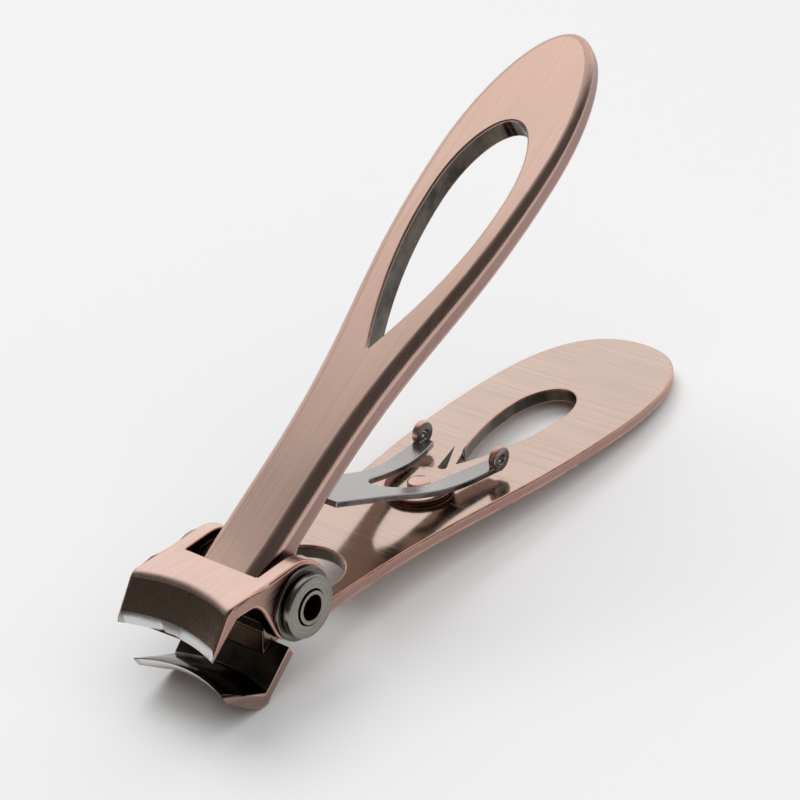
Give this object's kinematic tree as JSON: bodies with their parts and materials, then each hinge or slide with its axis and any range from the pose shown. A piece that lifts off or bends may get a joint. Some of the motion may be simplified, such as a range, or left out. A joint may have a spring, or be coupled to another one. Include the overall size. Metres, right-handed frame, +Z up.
{
  "type": "nail clipper",
  "caption": "Pliers-type nail clipper with wide concave jaws, long flat handles with teardrop cut-outs, a hollow riveted pivot and a leaf spring that holds it open.",
  "frame": {"origin": "centre of the bounding box's underside, on the surface the open clipper rests on", "axes": "+X from the jaws to the handle tails, +Y along the pivot axis, +Z up, towards the raised lever"},
  "size_m": [0.0876, 0.0212, 0.0483],
  "materials": {
    "antique_copper": "brushed antique-copper plating on steel, worn bright along the edges",
    "nickel": "turned, satin nickel",
    "gunmetal": "dark satin spring steel",
    "bright_copper": "polished pale copper"
  },
  "bodies": {
    "frame": {"lower_handle_frame": "antique_copper", "pivot_tube": "nickel", "shim_washer_near": "nickel", "shim_washer_far": "nickel", "spacer_ring_near": "gunmetal", "spacer_ring_far": "gunmetal", "cap_washer_near": "nickel", "cap_washer_far": "nickel", "spring_seat": "antique_copper", "spring_rivet": "bright_copper"},
    "lever": {"upper_lever": "antique_copper"},
    "spring": {"leaf_spring": "gunmetal"}
  },
  "joints": [
    {"name": "lever_hinge", "type": "hinge", "parent": "frame", "child": "lever", "pos_m": [-0.03072, 0, 0.00934], "axis": [0, 1, 0], "range_deg": [0, 23], "stiffness_Nm_per_rad": 0.8, "springref_deg": -17.19, "deforming": ["leaf_spring"]},
    {"name": "spring_flex", "type": "hinge", "parent": "frame", "child": "spring", "pos_m": [-0.00622, 0, 0.00813], "axis": [0, 1, 0], "range_deg": [-16.5, 0]}
  ],
  "couplings": [
    {"joint": "spring_flex", "follows": "lever_hinge", "ratio": -0.7}
  ]
}
